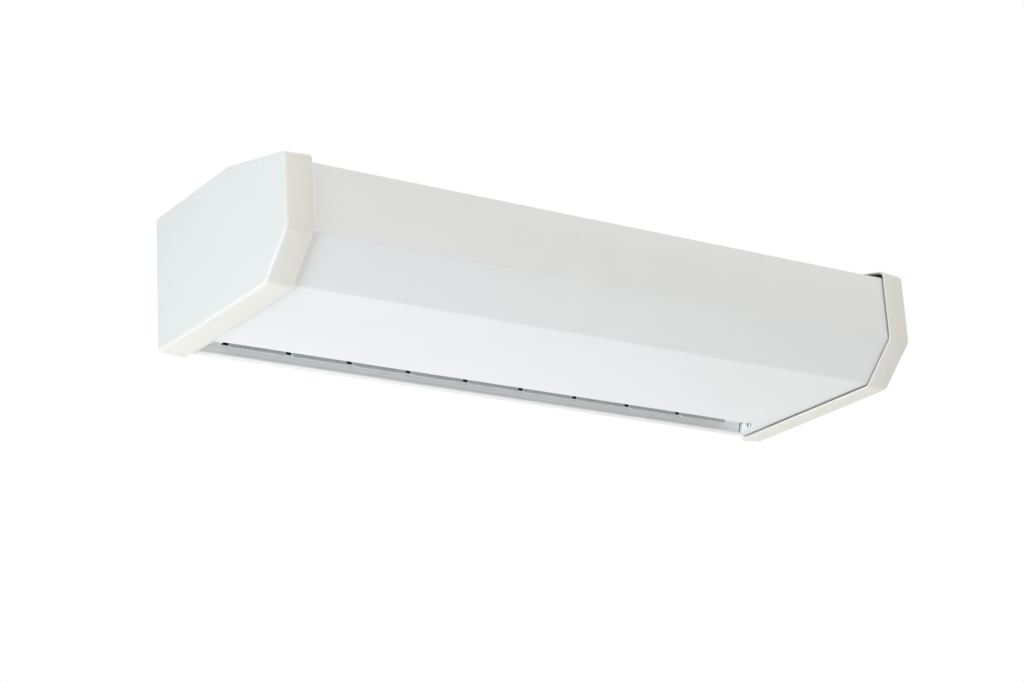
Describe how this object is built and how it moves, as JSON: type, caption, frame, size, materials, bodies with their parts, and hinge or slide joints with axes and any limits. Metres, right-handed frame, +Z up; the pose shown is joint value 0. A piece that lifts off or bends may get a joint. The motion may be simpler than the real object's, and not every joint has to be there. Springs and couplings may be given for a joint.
{
  "type": "air curtain",
  "caption": "Wall-mounted air curtain: long folded casing between moulded end caps, sloping intake grille, cross-flow blower, and a slot outlet underneath next to the wall.",
  "frame": {"origin": "middle of the back panel's rear face, 82 mm above the underside of the end caps at their side faces", "axes": "+X along the casing, to the right as seen from the front; +Y into the wall; +Z up"},
  "size_m": [0.9, 0.3015, 0.169],
  "materials": {
    "black_plastic": "black moulded plastic",
    "bronze": "sintered bronze",
    "capacitor_plastic": "pale grey plastic case",
    "cast_aluminium": "die cast, as cast",
    "galvanised": "galvanised sheet",
    "laminated_steel": "laminated steel, varnished",
    "lead_sheath": "grey sheathed lead",
    "moulding": "warm white moulded plastic, fine satin grain",
    "paint": "white powder coat, satin",
    "rotor_aluminium": "mill-finish aluminium sheet",
    "rubber": "black rubber",
    "shaft_steel": "ground steel",
    "terminal_plastic": "cream polyamide",
    "zinc_plated": "zinc plated"
  },
  "bodies": {
    "casing": {"back_panel": "paint", "bearing_bush": "bronze", "bearing_holder": "black_plastic", "bearing_ring": "rubber", "bearing_screw_1": "zinc_plated", "bearing_screw_2": "zinc_plated", "bearing_screw_3": "zinc_plated", "blower_end_left": "galvanised", "blower_end_right": "galvanised", "blower_scroll": "galvanised", "blower_tongue": "galvanised", "cable_grommet": "rubber", "cap_screw_left": "zinc_plated", "cap_screw_right": "zinc_plated", "capacitor_clip": "galvanised", "chassis_end_left": "paint", "chassis_end_right": "paint", "clip_screw": "zinc_plated", "cover_screw_left_bottom": "zinc_plated", "cover_screw_left_front": "zinc_plated", "cover_screw_right_bottom": "zinc_plated", "cover_screw_right_front": "zinc_plated", "earth_screw": "zinc_plated", "end_cap_left": "moulding", "end_cap_right": "moulding", "front_cover": "paint", "intake_grille": "black_plastic", "motor_front_bell": "cast_aluminium", "motor_lead": "lead_sheath", "motor_mount_1": "rubber", "motor_mount_2": "rubber", "motor_mount_3": "rubber", "motor_rear_bell": "cast_aluminium", "motor_screw_1": "zinc_plated", "motor_screw_2": "zinc_plated", "motor_screw_3": "zinc_plated", "motor_stator": "laminated_steel", "run_capacitor": "capacitor_plastic", "terminal_block": "terminal_plastic", "wall_bracket_left": "galvanised", "wall_bracket_right": "galvanised"},
    "rotor": {"motor_shaft": "shaft_steel", "rotor": "rotor_aluminium", "rotor_coupling": "rubber", "rotor_stub_shaft": "shaft_steel"}
  },
  "joints": [
    {"name": "rotor_spin", "type": "hinge", "parent": "casing", "child": "rotor", "pos_m": [0, -0.088, 0.016], "axis": [1, 0, 0], "continuous": true}
  ]
}
